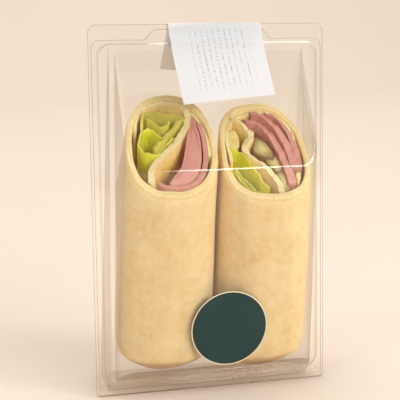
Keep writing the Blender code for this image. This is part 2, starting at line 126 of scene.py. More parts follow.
def between(edge, first, second):
    """Whether an edge parts a face that points the first way from one that points the second way."""
    if len(edge.link_faces) != 2:
        return False
    a, b = (face.normal for face in edge.link_faces)
    limit = math.cos(math.radians(30))
    return any(c.dot(first) > limit and d.dot(second) > limit for c, d in ((a, b), (b, a)))


def round_off(piece, first, others, width, steps):
    pick(piece, "edges", lambda edge: any(between(edge, first, other) for other in others))
    bpy.ops.mesh.bevel(
        offset=width, offset_type="OFFSET", segments=steps, affect="EDGES", clamp_overlap=True)


def mould_block(name, side, half_low, half_high, low, high):
    """The block that a half is formed over: narrower away from the flange and towards the top."""
    bpy.ops.mesh.primitive_cube_add(size=2)
    block = named(name)
    for vert in block.data.vertices:
        top = vert.co.z > 0
        depth = BLOCK_DEPTH if vert.co.y * side > 0 else RIM_STEP
        half = (half_high if top else half_low) - DRAFT * (depth - RIM_STEP)
        vert.co = (math.copysign(half, vert.co.x), side * depth, high if top else low)
    bpy.ops.object.mode_set(mode="EDIT")
    bpy.ops.mesh.select_all(action="SELECT")
    bpy.ops.mesh.normals_make_consistent(inside=False)
    return block


def outline(half, low, high, corner_low, corner_high, tab=0.0):
    """A flange's or a rim's outline as (x, z) points, with a tab in the middle of its top edge."""
    steps = 9
    right = []
    corners = ((corner_low, low + corner_low, -90), (corner_high, high - corner_high, 0))
    for radius, centre, start in corners:
        for step in range(steps + 1):
            turn = math.radians(start + 90 * step / steps)
            right.append((half - radius + radius * math.cos(turn), centre + radius * math.sin(turn)))
    right += [(x, high + tab * share) for x, share in TAB_SIDE]
    return right + [(-x, z) for x, z in reversed(right)]


def add_ring(piece, points, depth):
    """A loop of edges in the piece, as a circle pulled to an outline."""
    bpy.ops.mesh.select_mode(type="VERT")
    bpy.ops.mesh.select_all(action="DESELECT")
    bpy.ops.mesh.primitive_circle_add(vertices=len(points), radius=1)
    shape = bmesh.from_edit_mesh(piece.data)
    ring = sorted((vert for vert in shape.verts if vert.select), key=lambda vert: vert.index)
    for vert, (x, z) in zip(ring, points):
        vert.co = (x, depth, z)
    bmesh.update_edit_mesh(piece.data)


def open_at(edge, depth):
    return len(edge.link_faces) < 2 and all(abs(vert.co.y - depth) < 1e-4 for vert in edge.verts)


def soften_panel(piece, panel):
    """Rounds the edges of the slanted panel, up to just below the rim."""
    bpy.ops.mesh.select_all(action="SELECT")
    bpy.ops.mesh.bisect(plane_co=(0, 0, PANEL_TOP), plane_no=(0, 0, 1))
    pick(piece, "edges", lambda edge: max(vert.co.z for vert in edge.verts) < PANEL_TOP + 0.01 and sum(
        face.normal.dot(panel) > 0.9995 for face in edge.link_faces) == 1)
    bpy.ops.mesh.bevel(offset=1.25, segments=6, affect="EDGES", clamp_overlap=True)
    bpy.ops.mesh.select_all(action="SELECT")
    bpy.ops.mesh.remove_doubles(threshold=0.002)


def form_half(piece, side, flange, panel=None):
    """Opens the block at the rim, adds ledge, rim and flange with its beads, and thickens the sheet."""
    pick(piece, "faces", lambda face: face.normal.y * side < -0.99)
    bpy.ops.mesh.delete(type="FACE")
    ledge, face = side * RIM_STEP, side * FLANGE_FACE
    add_ring(piece, outline(*RIM_FOOT), ledge)
    pick(piece, "edges", lambda edge: open_at(edge, ledge))
    bpy.ops.mesh.fill(use_beauty=True)
    add_ring(piece, outline(*RIM_HEAD), face)
    pick(piece, "edges", lambda edge: open_at(edge, ledge) or open_at(edge, face))
    bpy.ops.mesh.bridge_edge_loops()
    add_ring(piece, flange, face)
    pick(piece, "edges", lambda edge: open_at(edge, face))
    bpy.ops.mesh.fill(use_beauty=True)
    for height in BEAD_LINES:
        pick(piece, "faces", lambda item: all(
            abs(vert.co.y - face) < 1e-4 and vert.co.z < BEADS_BELOW for vert in item.verts))
        bpy.ops.mesh.bisect(plane_co=(0, 0, height), plane_no=(0, 0, 1))
    for height in BEAD_TOPS:
        pick(piece, "verts", lambda vert: abs(vert.co.z - height) < 1e-4 and abs(vert.co.y - face) < 1e-4)
        bpy.ops.transform.translate(value=(0, side * BEAD_RISE, 0))
    bpy.ops.mesh.select_all(action="SELECT")
    bpy.ops.mesh.remove_doubles(threshold=0.001)
    bpy.ops.mesh.normals_make_consistent(inside=False)
    shape = bmesh.from_edit_mesh(piece.data)
    if max(shape.faces, key=lambda item: item.calc_area()).normal.y * side < 0:
        bpy.ops.mesh.flip_normals()
    if panel:
        soften_panel(piece, panel)
    bpy.ops.object.mode_set(mode="OBJECT")
    modify(piece, "BEVEL", width=0.7, segments=4, limit_method="ANGLE", angle_limit=math.radians(20))
    modify(piece, "SOLIDIFY", thickness=SHEET, offset=1.0, use_even_offset=True)
    bpy.ops.object.shade_smooth_by_angle(angle=math.radians(32))
    modify(piece, "WEIGHTED_NORMAL", mode="FACE_AREA", weight=100, keep_sharp=True)
    settle(piece, PACK_FRAME)


def face_depth(height):
    return FACE_LOW_DEPTH + FACE_SLOPE * (height - FACE_LOW)


def panel_depth(height):
    return face_depth(CREASE) - PANEL_SLOPE * (height - CREASE)


def add_node(tree, kind, sockets=None, **settings):
    made = tree.nodes.new(kind)
    for key, value in settings.items():
        setattr(made, key, value)
    for key, value in (sockets or {}).items():
        if isinstance(value, bpy.types.NodeSocket):
            tree.links.new(value, made.inputs[key])
        else:
            made.inputs[key].default_value = value
    return made


def object_place(tree):
    return add_node(tree, "ShaderNodeTexCoord").outputs["Object"]


def work_out(tree, operation, *values):
    """One step of arithmetic on sockets and numbers."""
    return add_node(tree, "ShaderNodeMath", dict(enumerate(values)), operation=operation).outputs[0]


def clouds(tree, place, scale, detail=2.0):
    made = add_node(tree, "ShaderNodeTexNoise", {"Vector": place, "Scale": scale, "Detail": detail})
    return made.outputs["Fac"]


def new_finish(name, **sockets):
    """A material with one main shader, whose plain values are set on its own sockets."""
    made = bpy.data.materials.new(name)
    made.use_nodes = True
    shader = made.node_tree.nodes["Principled BSDF"]
    for key, value in sockets.items():
        shader.inputs[key.replace("_", " ")].default_value = value
    return made, made.node_tree, shader


right, left = Vector((1, 0, 0)), Vector((-1, 0, 0))

lid = mould_block("lid_shell", -1, half_low=54.0, half_high=50.3, low=8.5, high=190.0)
front, under = Vector((0, -1, -FACE_SLOPE)).normalized(), Vector((0, -0.62, -1)).normalized()
slice_off(lid, (0, -face_depth(CREASE), CREASE), front)
slice_off(lid, (0, -FACE_LOW_DEPTH, FACE_LOW), under)
round_off(lid, front, (right, left), 13.0, 14)
round_off(lid, under, (front,), 1.8, 4)
panel = Vector((0, -1, PANEL_SLOPE)).normalized()
slice_off(lid, (0, -panel_depth(CREASE), CREASE), panel)
form_half(lid, -1, outline(*LID_FLANGE, tab=TAB), panel)

tray = mould_block("tray_shell", 1, half_low=56.0, half_high=52.5, low=-5.0, high=190.0)
back, base = Vector((0, 1, BACK_SLOPE)).normalized(), Vector((0, math.tan(PACK_LEAN), -1)).normalized()
slice_off(tray, (0, BACK_DEPTH, 0), back)
round_off(tray, back, (right, left), 11.0, 10)
slice_off(tray, (0, 0, BASE_LIFT), base)
round_off(tray, back, (base,), 3.0, 4)
slice_off(tray, (0, RIM_STEP, HEEL_TOP), Vector((0, -HEEL_TOP, -HEEL_DEPTH)).normalized())
slice_off(tray, (0, SHOULDER_DEPTH, SHOULDER), Vector((0, 1, SHOULDER_SLOPE)).normalized())
form_half(tray, 1, outline(*TRAY_FLANGE))


def clear_finish(name, straight, slanting):
    """Clear plastic that tints what is behind it, more where it is seen at a slant."""
    finish, tree, shader = new_finish(name, Base_Color=(1, 1, 1, 1), Metallic=1.0, Roughness=0.035)
    ripple = clouds(tree, object_place(tree), 22.0, 1.0)
    wobble = add_node(tree, "ShaderNodeBump", {"Strength": 0.05, "Distance": 0.001, "Height": ripple})
    tree.links.new(wobble.outputs["Normal"], shader.inputs["Normal"])
    facing = add_node(tree, "ShaderNodeLayerWeight", {"Blend": 0.5}).outputs["Facing"]
    gloss = work_out(tree, "MULTIPLY_ADD", work_out(tree, "POWER", facing, 5.0), 0.9, 0.045)
    slant = work_out(tree, "POWER", facing, 3.6)
    seen = add_node(tree, "ShaderNodeMix", {0: slant}, data_type="RGBA")
    seen.inputs[6].default_value = straight
    seen.inputs[7].default_value = slanting
    see_through = add_node(tree, "ShaderNodeBsdfTransparent", {"Color": seen.outputs[2]})
    blend = add_node(tree, "ShaderNodeMixShader", {
        0: gloss, 1: see_through.outputs["BSDF"], 2: shader.outputs["BSDF"],
    })
    tree.links.new(blend.outputs[0], tree.nodes["Material Output"].inputs["Surface"])
    return finish


def cut_edge(name, side, flange, tab=0.0):
    """The cut edge of a flange, a fine rounded line that gathers the light."""
    half, low, high, corner_low, corner_high = flange
    depth, inset = side * (FLANGE_FACE + EDGE_RADIUS), EDGE_RADIUS
    points = outline(half - inset, low + inset, high - inset, corner_low - inset, corner_high - inset, tab)
    bpy.ops.object.select_all(action="DESELECT")
    bpy.ops.mesh.primitive_circle_add(vertices=len(points), radius=1)
    edge = named(name)
    for vert, (x, z) in zip(edge.data.vertices, points):
        vert.co = (x, depth, z)
    bpy.ops.object.convert(target="CURVE")
    edge.data.bevel_depth = EDGE_RADIUS
    edge.data.bevel_resolution = 2
    bpy.ops.object.convert(target="MESH")
    bpy.ops.object.shade_smooth()
    settle(edge, PACK_FRAME)
    return edge


lid_edge = cut_edge("lid_flange_edge", -1, LID_FLANGE, TAB)
tray_edge = cut_edge("tray_flange_edge", 1, TRAY_FLANGE)
clear_plastic = clear_finish("clear_plastic", (0.995, 0.992, 0.985, 1), (0.64, 0.54, 0.42, 1))
sheet_edge = clear_finish("clear_plastic_edge", (0.88, 0.83, 0.76, 1), (0.68, 0.60, 0.50, 1))
for shell, node, finish in (
    (lid, "lid", clear_plastic), (tray, "tray", clear_plastic),
    (lid_edge, "lid", sheet_edge), (tray_edge, "tray", sheet_edge),
):
    shell.data.materials.append(finish)
    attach(shell, "root")
    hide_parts(node)


# The two wrap halves: a wheat tortilla rolled round its fillings, its ends folded in, cut in two on the
# slant. Each half stands on its folded end. Sizes are in millimetres: u across, v to the back, w up the
# half, whose length lies along the lid's front face.
HALF_TILT = math.atan(FACE_SLOPE)
HALF_BACK = 12.3
SEMI_DEPTH = 22.0
SKIN = 3.5
# The folded foot ends at FOOT_TOP, the fillings stand on FLOOR, and above RISE_FROM the wall's rows follow
# the cut. The sides change from their low to their high places over SIDES_OVER from SIDES_FROM. On the
# inside, the close rows under the cut's edge reach LAST_DROP below it.
FOOT_TOP, FLOOR, RISE_FROM = 44, 38.0, 95
SIDES_FROM, SIDES_OVER = 105, 52
LAST_DROP = 28
COLUMNS = 144
SHEET_ROWS = 46


class Half:
    """One half of the wrap: its place, its sides, its slanted cut and the wall between them."""

    def __init__(self, name, centre, low_sides, high_sides, power, cut_middle, cut_slope, seed, lift):
        self.name, self.power, self.seed, self.lift = name, power, seed, lift
        self.low_sides, self.high_sides = low_sides, high_sides
        self.cut_middle, self.cut_slope = cut_middle, cut_slope
        foot = Vector((centre, HALF_BACK, 0))
        self.place = PACK_FRAME @ Matrix.Translation(foot) @ Matrix.Rotation(HALF_TILT, 4, "X")

    def cut(self, v):
        return self.cut_middle + self.cut_slope * v

    def wall(self, turn, w, inset, share):
        """The point of the wall at a turn round the half, at height w, inset from the outside."""
        rise = min(max((w - SIDES_FROM) / SIDES_OVER, 0), 1)
        rise = rise * rise * (3 - 2 * rise)
        low, high = (a + (b - a) * rise for a, b in zip(self.low_sides, self.high_sides))
        middle, half = (low + high) / 2, ((high - low) / 2 - inset) * share
        cosine, sine = math.cos(turn), math.sin(turn)
        u = middle + half * math.copysign(abs(cosine) ** (2 / self.power), cosine)
        v = (SEMI_DEPTH - inset) * share * math.copysign(abs(sine) ** (2 / self.power), sine)
        dent = noise.noise(Vector((u * 0.07, v * 0.07, w * 0.028 + self.seed)))
        crease = noise.noise(Vector((u * 0.22, v * 0.22, w * 0.012 + self.seed)))
        swell = 1 + (0.9 * dent + 0.35 * crease) / SEMI_DEPTH * min(1, share * 1.5)
        return middle + (u - middle) * swell, v * swell


left_half = Half(
    "left", centre=-24.5, low_sides=(-26.8, 25.0), high_sides=(-20.6, 25.2), power=2.3,
    cut_middle=135.2, cut_slope=1.02, seed=3.0, lift=5.5)
right_half = Half(
    "right", centre=26.7, low_sides=(-25.2, 25.9), high_sides=(-22.6, 22.6), power=2.5,
    cut_middle=130.4, cut_slope=0.963, seed=8.0, lift=3.0)


def curve_point(a, b, c, d, t):
    """A point between b and c on the smooth curve through a, b, c and d."""
    return 0.5 * (2 * b + (c - a) * t + (2 * a - 5 * b + 4 * c - d) * t**2 + (3 * b - a - 3 * c + d) * t**3)


def smooth_path(points, steps):
    ends = [2 * Vector(points[0]) - Vector(points[1]), 2 * Vector(points[-1]) - Vector(points[-2])]
    knots = [ends[0]] + [Vector(point) for point in points] + [ends[1]]
    found = []
    for a, b, c, d in zip(knots, knots[1:], knots[2:], knots[3:]):
        found += [curve_point(a, b, c, d, step / steps) for step in range(steps)]
    return found + [knots[-2]]


def mapped_grid(name, columns, rows, place_vert, marks, close=False):
    """A grid whose points are placed one by one, with a number kept at each for its material."""
    bpy.ops.object.select_all(action="DESELECT")
    bpy.ops.mesh.primitive_grid_add(x_subdivisions=columns, y_subdivisions=rows, size=1)
    piece = named(name)
    layers = [piece.data.attributes.new(mark, "FLOAT", "POINT") for mark in marks]
    for vert in piece.data.vertices:
        along, up = round((vert.co.x + 0.5) * columns), round((vert.co.y + 0.5) * rows)
        point, values = place_vert(along, up)
        vert.co = point
        for layer, value in zip(layers, values):
            layer.data[vert.index].value = value
    bpy.ops.object.mode_set(mode="EDIT")
    bpy.ops.mesh.select_all(action="SELECT")
    if close:
        bpy.ops.mesh.remove_doubles(threshold=0.001)
    bpy.ops.mesh.normals_make_consistent(inside=False)
    bpy.ops.object.mode_set(mode="OBJECT")
    return piece


def tortilla_rows(lift):
    """Stations up the outside, over the cut edge and down the inside: (kind, value, inset, share)."""
    foot = [
        (0, 4.7), (0.1, 5.6), (0.3, 7.8), (0.5, 10.2), (0.7, 13.6), (0.84, 16.4), (0.93, 18.4), (0.98, 21),
        (1, 25.5), (1, 33), (1, FOOT_TOP),
    ]
    rows = [("height", w + lift * (1 - w / FOOT_TOP), 0, share) for share, w in smooth_path(foot, 4)]
    rows += [("height", FOOT_TOP + step * (RISE_FROM - FOOT_TOP) / 16, 0, 1) for step in range(1, 17)]
    rows += [("rise", step / 14, 0, 1) for step in range(1, 14)]
    rows += [("below", drop, SKIN * deep, 1) for drop, deep in (
        (2.0, 0), (1.1, 0.04), (0.5, 0.12), (0.15, 0.24), (0, 0.4), (0, 0.58), (0.12, 0.74), (0.4, 0.87),
        (0.9, 0.95), (1.6, 0.99), (2.4, 1), (3.4, 1), (5, 1), (9, 1), (14, 1), (20, 1), (LAST_DROP, 1))]
    rows += [("height", w, SKIN, 1) for w in (70, 54, FLOOR)]
    rows += [("height", FLOOR, SKIN, share) for share in (0.6, 0.2, 0)]
    return rows


def make_tortilla(half):
    rows = tortilla_rows(half.lift)

    def place_vert(along, up):
        turn = 2 * math.pi * along / COLUMNS
        kind, value, inset, share = rows[up]
        share = max(share, 1e-5)
        sine = math.sin(turn)
        v = (SEMI_DEPTH - inset) * share * math.copysign(abs(sine) ** (2 / half.power), sine)
        top = half.cut(v) + 0.5 * noise.noise(Vector((math.cos(turn) * 4, sine * 4, half.seed)))
        w = value
        if kind == "rise":
            w = RISE_FROM + (top - 2.0 - RISE_FROM) * value
        elif kind == "below":
            w = top - value
        elif inset:
            w = min(value, top - (LAST_DROP + 1))
        u, v = half.wall(turn, w, inset, share)
        if share < 1 and not inset:
            w += 0.9 * noise.noise(Vector((u * 0.14, v * 0.14, half.seed))) * share
        return (u, v, w), (inset / SKIN, top - w, share if w < 40 else 1.0)

    marks = ("layer", "below_cut", "foot")
    piece = mapped_grid(f"tortilla_{half.name}_skin", COLUMNS, len(rows) - 1, place_vert, marks, True)
    bpy.ops.object.shade_smooth()
    settle(piece, half.place)
    return piece


def standing_sheet(name, half, points, thickness, lift=0.0, wave=0.0, ragged=0.0, seed=0.0):
    """A sheet of food that stands on its edge along a path and is cut off level with the slant."""
    knots = smooth_path(points, 8)
    lengths = [0.0]
    for a, b in zip(knots, knots[1:]):
        lengths.append(lengths[-1] + (b - a).length)
    columns = max(24, int(lengths[-1] / 0.7))

    def along_path(share):
        reach = share * lengths[-1]
        spot = next((i for i in range(1, len(lengths)) if lengths[i] >= reach), len(lengths) - 1)
        part = (reach - lengths[spot - 1]) / max(lengths[spot] - lengths[spot - 1], 1e-6)
        here = knots[spot - 1].lerp(knots[spot], part)
        ahead = (knots[spot] - knots[spot - 1]).normalized()
        return here, Vector((-ahead.y, ahead.x)), reach

    def place_vert(along, up):
        here, side, reach = along_path(along / columns)
        top = half.cut(here.y) + lift + ragged * noise.noise(Vector((reach * 0.35, seed, 0.0)))
        share = 1 - (1 - up / SHEET_ROWS) ** 2.2
        w = FLOOR + (top - FLOOR) * share
        depth = top - w
        sway = noise.noise(Vector((reach * 0.16, depth * 0.09, seed))) + 0.5 * noise.noise(
            Vector((reach * 0.42, depth * 0.2, seed + 5)))
        spot = here + side * wave * sway
        return (spot.x, spot.y, w), (depth,)

    piece = mapped_grid(name, columns, SHEET_ROWS, place_vert, ("below_cut",))
    modify(piece, "SOLIDIFY", thickness=thickness, offset=0.0, use_even_offset=True)
    modify(piece, "SUBSURF", levels=1, render_levels=1)
    bpy.ops.object.shade_smooth()
    settle(piece, half.place)
    return piece


def relief_group():
    """Fine relief and soft patches, used by the tortilla and by each filling."""
    group = bpy.data.node_groups.new("food_relief", "ShaderNodeTree")
    for socket in ("Patch size", "Grain size", "Depth"):
        group.interface.new_socket(socket, in_out="INPUT", socket_type="NodeSocketFloat")
    for socket in ("Patches", "Grain"):
        group.interface.new_socket(socket, in_out="OUTPUT", socket_type="NodeSocketFloat")
    group.interface.new_socket("Normal", in_out="OUTPUT", socket_type="NodeSocketVector")
    given = group.nodes.new("NodeGroupInput")
    place = object_place(group)
    patches = add_node(group, "ShaderNodeTexNoise", {
        "Vector": place, "Scale": given.outputs["Patch size"], "Detail": 3.0, "Roughness": 0.55})
    grain = add_node(group, "ShaderNodeTexNoise", {
        "Vector": place, "Scale": given.outputs["Grain size"], "Detail": 4.0, "Roughness": 0.6})
    bump = add_node(group, "ShaderNodeBump", {
        "Strength": 0.5, "Distance": given.outputs["Depth"], "Height": grain.outputs["Fac"]})
    out = group.nodes.new("NodeGroupOutput")
    group.links.new(patches.outputs["Fac"], out.inputs["Patches"])
    group.links.new(grain.outputs["Fac"], out.inputs["Grain"])
    group.links.new(bump.outputs["Normal"], out.inputs["Normal"])
    return group


food_relief = relief_group()


def add_relief(tree, shader, patch_size, grain_size, depth):
    made = add_node(tree, "ShaderNodeGroup", node_tree=food_relief)
    for key, value in (("Patch size", patch_size), ("Grain size", grain_size), ("Depth", depth)):
        made.inputs[key].default_value = value
    tree.links.new(made.outputs["Normal"], shader.inputs["Normal"])
    return made


def fade(tree, value, low, high):
    """0 where the value is at low, 1 where it is at high, and even between them."""
    made = add_node(
        tree, "ShaderNodeMapRange", {"Value": value, "From Min": low, "From Max": high}, clamp=True)
    return made.outputs["Result"]


def mixed(tree, share, first, second):
    """The first colour where the share is 0 and the second where it is 1."""
    made = add_node(tree, "ShaderNodeMix", data_type="RGBA")
    for socket, value in zip((made.inputs[0], made.inputs[6], made.inputs[7]), (share, first, second)):
        if isinstance(value, bpy.types.NodeSocket):
            tree.links.new(value, socket)
        else:
            socket.default_value = value
    return made.outputs[2]


def tint(red, green, blue):
    """An 8-bit screen colour as linear values."""
    parts = (red, green, blue)
    return tuple(((c / 255 + 0.055) / 1.055) ** 2.4 if c > 10 else c / 3295 for c in parts) + (1,)


def patchy(tree, relief, first, second):
    """Two colours that change over into each other in the relief's soft patches."""
    return mixed(tree, fade(tree, relief.outputs["Patches"], 0.35, 0.65), first, second)


def mark(tree, name):
    """A number kept at each point of the mesh."""
    return add_node(tree, "ShaderNodeAttribute", attribute_name=name).outputs["Fac"]


def product(tree, first, second):
    return work_out(tree, "MULTIPLY", first, second)


tortilla_finish, tree, shader = new_finish(
    "toasted_tortilla", Roughness=0.72, Specular_IOR_Level=0.25,
    Subsurface_Weight=0.12, Subsurface_Scale=0.004, Subsurface_Radius=(1.0, 0.6, 0.25),
)
relief = add_relief(tree, shader, 42.0, 700.0, 0.00018)
layer, below = mark(tree, "layer"), mark(tree, "below_cut")
place = object_place(tree)
skin = patchy(tree, relief, tint(238, 213, 158), tint(231, 200, 140))
blush = fade(tree, clouds(tree, place, 130.0, 3.0), 0.5, 0.8)
skin = mixed(tree, product(tree, blush, 0.6), skin, tint(222, 180, 108))
flour = fade(tree, clouds(tree, place, 320.0, 3.0), 0.45, 0.75)
skin = mixed(tree, product(tree, flour, 0.5), skin, tint(244, 224, 178))
# The folded-in foot is painted darker and browner: painted shade where it faces down under the roll.
skin = mixed(tree, fade(tree, mark(tree, "foot"), 0.97, 0.86), skin, tint(214, 178, 128))
crumb = mixed(tree, fade(tree, relief.outputs["Grain"], 0.4, 0.65), tint(244, 225, 170), tint(237, 210, 146))
bands = work_out(tree, "SINE", product(tree, layer, 16.0))
crumb = mixed(tree, product(tree, fade(tree, bands, 0.2, 1.0), 0.5), crumb, tint(226, 186, 120))
inner = patchy(tree, relief, tint(246, 206, 104), tint(234, 184, 76))
# Inside the roll the colour goes from cream just under the cut to a darker golden deeper down: painted shade
# in the hollow of the roll.
inner = mixed(tree, fade(tree, below, 1.0, 9.0), tint(236, 208, 146), inner)
skin = mixed(tree, fade(tree, layer, 0.9, 1.0), skin, inner)
on_edge = product(tree, fade(tree, layer, 1.0, 0.93), fade(tree, below, 4.5, 0.8))
tree.links.new(mixed(tree, on_edge, skin, crumb), shader.inputs["Base Color"])

flap_finish, tree, shader = new_finish(
    "tortilla_flap", Roughness=0.7, Specular_IOR_Level=0.25,
    Subsurface_Weight=0.12, Subsurface_Scale=0.004, Subsurface_Radius=(1.0, 0.6, 0.25),
)
relief = add_relief(tree, shader, 60.0, 700.0, 0.00018)
skin = patchy(tree, relief, tint(246, 206, 106), tint(234, 184, 78))
# The flap is cream just under the cut and a darker golden deeper down: painted shade in the hollow between
# the fillings.
skin = mixed(tree, fade(tree, mark(tree, "below_cut"), 1.0, 9.0), tint(236, 210, 146), skin)
crumb = mixed(tree, fade(tree, relief.outputs["Grain"], 0.4, 0.65), tint(245, 230, 178), tint(238, 214, 152))
tree.links.new(
    mixed(tree, fade(tree, mark(tree, "below_cut"), 1.3, 0.4), skin, crumb), shader.inputs["Base Color"])

# The flap is the tortilla's inner end, which parts the fillings. The layer is its second turn, just inside
# the wall. Both are paths of (u, v) points, and each stands as a sheet up to the cut.
flap_paths = {
    "left": [
        (-12.4, 15.2), (-5, 17.7), (4, 18.2), (11.6, 16.4), (12.5, 11.4), (7.6, 4.6),
        (1.2, -0.8), (-5.5, -4.6), (-10.4, -8.6), (-12.2, -12.2), (-12.6, -15.4),
    ],
    "right": [
        (-14.0, 15.6), (-10.6, 14.2), (-6.8, 10.8), (-4.6, 7.2), (-8.6, 3.6), (-10, 0),
        (-6.4, -3), (-2.8, -5.4), (0.6, -8.8), (3.6, -12.8), (4.8, -16.2), (4.4, -18.6),
    ],
}
layer_paths = {
    "left": [
        (-17, 6.5), (-14.4, 13), (-8.6, 16.6), (0, 17.6), (8.6, 17.0), (14.8, 13.4), (18.8, 8.4), (20.6, 2),
        (20.4, -5),
    ],
    "right": [
        (-18.4, -4), (-18.6, 5), (-16.4, 11.8), (-10.4, 15.8), (-2, 17.4), (6, 17.4), (13, 14.4),
        (17.6, 9.4), (18.8, 2),
    ],
}
for half in (left_half, right_half):
    skin_piece = make_tortilla(half)
    skin_piece.data.materials.append(tortilla_finish)
    flap = standing_sheet(
        f"tortilla_{half.name}_flap", half, flap_paths[half.name], 3.2, wave=1.0, ragged=1.0,
        seed=half.seed)
    layer_piece = standing_sheet(
        f"tortilla_{half.name}_layer", half, layer_paths[half.name], 1.7, lift=-0.5, wave=0.3, ragged=0.6,
        seed=half.seed + 1)
    for piece in (flap, layer_piece):
        piece.data.materials.append(flap_finish)
    for piece in (skin_piece, flap, layer_piece):
        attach(piece, "root")
        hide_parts(f"tortilla_{half.name}")


# The lettuce: torn leaves of a pale crisp head, folded and crumpled upright in the roll. Their faces are
# yellow green, with paler ribs and cut edges that catch the light.
lettuce_finish, tree, shader = new_finish(
    "lettuce_leaf", Roughness=0.42, Specular_IOR_Level=0.45,
    Subsurface_Weight=0.3, Subsurface_Scale=0.004, Subsurface_Radius=(0.8, 1.0, 0.3),
)
relief = add_relief(tree, shader, 90.0, 420.0, 0.0005)
leaf = patchy(tree, relief, tint(234, 230, 36), tint(210, 212, 6))
place = object_place(tree)
cells = add_node(tree, "ShaderNodeTexVoronoi", {"Vector": place, "Scale": 120.0}, feature="DISTANCE_TO_EDGE")
veins = fade(tree, cells.outputs["Distance"], 0.08, 0.0)
leaf = mixed(tree, product(tree, veins, 0.35), leaf, tint(230, 226, 80))
rim = fade(tree, mark(tree, "below_cut"), 1.0, 0.2)
leaf = mixed(tree, product(tree, rim, 0.7), leaf, tint(236, 232, 104))
leaf = mixed(tree, mark(tree, "pale"), leaf, tint(206, 190, 96))
tree.links.new(leaf, shader.inputs["Base Color"])

# Each leaf: node, half, path, thickness, lift over the cut, wave, how pale it is. Some nodes have two.
leaves = [
    ("lettuce_left_back", left_half,
     [(-11.5, 14.4), (-7, 15.4), (-3.7, 15.2), (2.0, 14.2), (6.4, 14.0), (10.4, 12.8)],
     0.8, -1.6, 0.9, 0.75),
    ("lettuce_left_back", left_half,
     [(-11.2, 13.8), (-12.6, 9.6), (-13.6, 5.6), (-16.2, 1.4)], 1.2, -0.6, 0.5, 0.6),
    ("lettuce_left_rib", left_half,
     [(10.2, 12.4), (6.0, 9.4), (0.8, 5.4), (-3.2, 2.7), (-8.5, -0.3)], 2.3, -1.2, 0.5, 0.75),
    ("lettuce_left_rib", left_half,
     [(5.6, 4.2), (3.0, 4.2), (0.1, 2.4), (-6.8, -1.8)], 1.0, -2.0, 0.4, 0.4),
    ("lettuce_left_fold", left_half,
     [(-9.4, 12.6), (-6.6, 11.4), (-4.2, 9.6), (-1.8, 8.8), (1.8, 9.8), (2.6, 11.4)], 0.9, -1.6, 0.5, 0.55),
    ("lettuce_left_fold", left_half,
     [(-13.4, 5.8), (-10.6, 8.6), (-6.8, 7.8), (-4.0, 5.4), (-1.4, 4.8)], 0.8, -2.0, 1.0, 0.0),
    ("lettuce_left_front", left_half,
     [(-16.6, 1.4), (-14.2, -1.8), (-11.2, -3.1), (-7.6, -3.4), (-4.5, -3.0), (-2.8, -1.8)],
     0.8, -0.6, 0.3, 0.1),
    ("lettuce_right_outer", right_half,
     [(-18.0, 1.6), (-18.0, -5), (-16.4, -11), (-11.4, -14.8), (-5, -16.8), (-0.4, -17.2)],
     0.9, -5.5, 0.5, 0.5),
    ("lettuce_right_inner", right_half,
     [(-17.6, 2.0), (-13.8, 1.0), (-11.2, -1.4), (-9.0, -4.0), (-6.4, -8.2), (-4.0, -12.4), (-1.0, -16.2)],
     0.9, -0.8, 0.8, 0.0),
    ("lettuce_right_rib", right_half,
     [(-15.4, -3.4), (-13.6, -6.6), (-10.8, -9.6), (-7.4, -13.2)], 0.9, -5.5, 0.9, 0.15),
    ("lettuce_right_rib", right_half,
     [(-16.6, -5.6), (-13.8, -11.6), (-8.6, -14.8), (-2.6, -17.2)], 0.9, -3.6, 0.6, 0.3),
]
for number, (name, half, points, thickness, lift, wave, pale) in enumerate(leaves):
    leaf = standing_sheet(
        f"{name}_leaf_{number}", half, points, thickness, lift, wave, ragged=1.8, seed=11.0 + 3 * number)
    paleness = leaf.data.attributes.new("pale", "FLOAT", "POINT")
    for spot in paleness.data:
        spot.value = pale
    leaf.data.materials.append(lettuce_finish)
    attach(leaf, "root")
    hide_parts(name)


# The ham: cooked slices folded over on themselves, so that several thin layers stand side by side. The cut
# edges are pink and moist, with paler streaks.
ham_finish, tree, shader = new_finish(
    "cooked_ham", Roughness=0.42, Specular_IOR_Level=0.4,
    Subsurface_Weight=0.2, Subsurface_Scale=0.003, Subsurface_Radius=(1.0, 0.35, 0.25),
)
relief = add_relief(tree, shader, 190.0, 600.0, 0.0004)
meat = patchy(tree, relief, tint(202, 137, 120), tint(174, 102, 86))
meat = mixed(tree, fade(tree, relief.outputs["Grain"], 0.5, 0.75), meat, tint(209, 149, 128))
cut_face = fade(tree, mark(tree, "below_cut"), 1.3, 0.2)
meat = mixed(tree, product(tree, cut_face, 0.75), meat, tint(220, 158, 141))
tree.links.new(meat, shader.inputs["Base Color"])

# Each slice: node, half, lift over the cut, thickness, path
ham_slices = [
    ("ham_left_outer", left_half, 0.2, 2.6, [
        (17.9, 8.6), (18.7, 4.4), (18.9, -0.4), (18.0, -6.2), (15.4, -11.6), (10.2, -15.8), (2.6, -17.5),
        (-5.4, -17), (-9, -15.4)]),
    ("ham_right_inner", right_half, 0.0, 4.5, [
        (-6.6, 13.8), (-1, 12.9), (4.0, 9.3), (7.5, 3.8), (10.0, -3), (11.6, -9.8), (12.0, -15.2)]),
    ("ham_right_middle", right_half, 0.4, 4.6, [
        (-3.0, 17.0), (1.6, 16.4), (6.4, 13.4), (10.4, 8.9), (13.1, 3.4), (14.8, -3), (15.0, -8.5)]),
    ("ham_right_outer", right_half, -0.2, 3.4, [
        (5.6, 17.6), (11.6, 14.8), (15.7, 9.8), (17.8, 3.4), (18.3, -3), (17.6, -8.4)]),
]
for name, half, lift, thickness, points in ham_slices:
    fold = standing_sheet(f"{name}_slice_0", half, points, thickness, lift, wave=0.2, ragged=0.8, seed=31.0)
    fold.data.materials.append(ham_finish)
    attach(fold, "root")
    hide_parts(name)


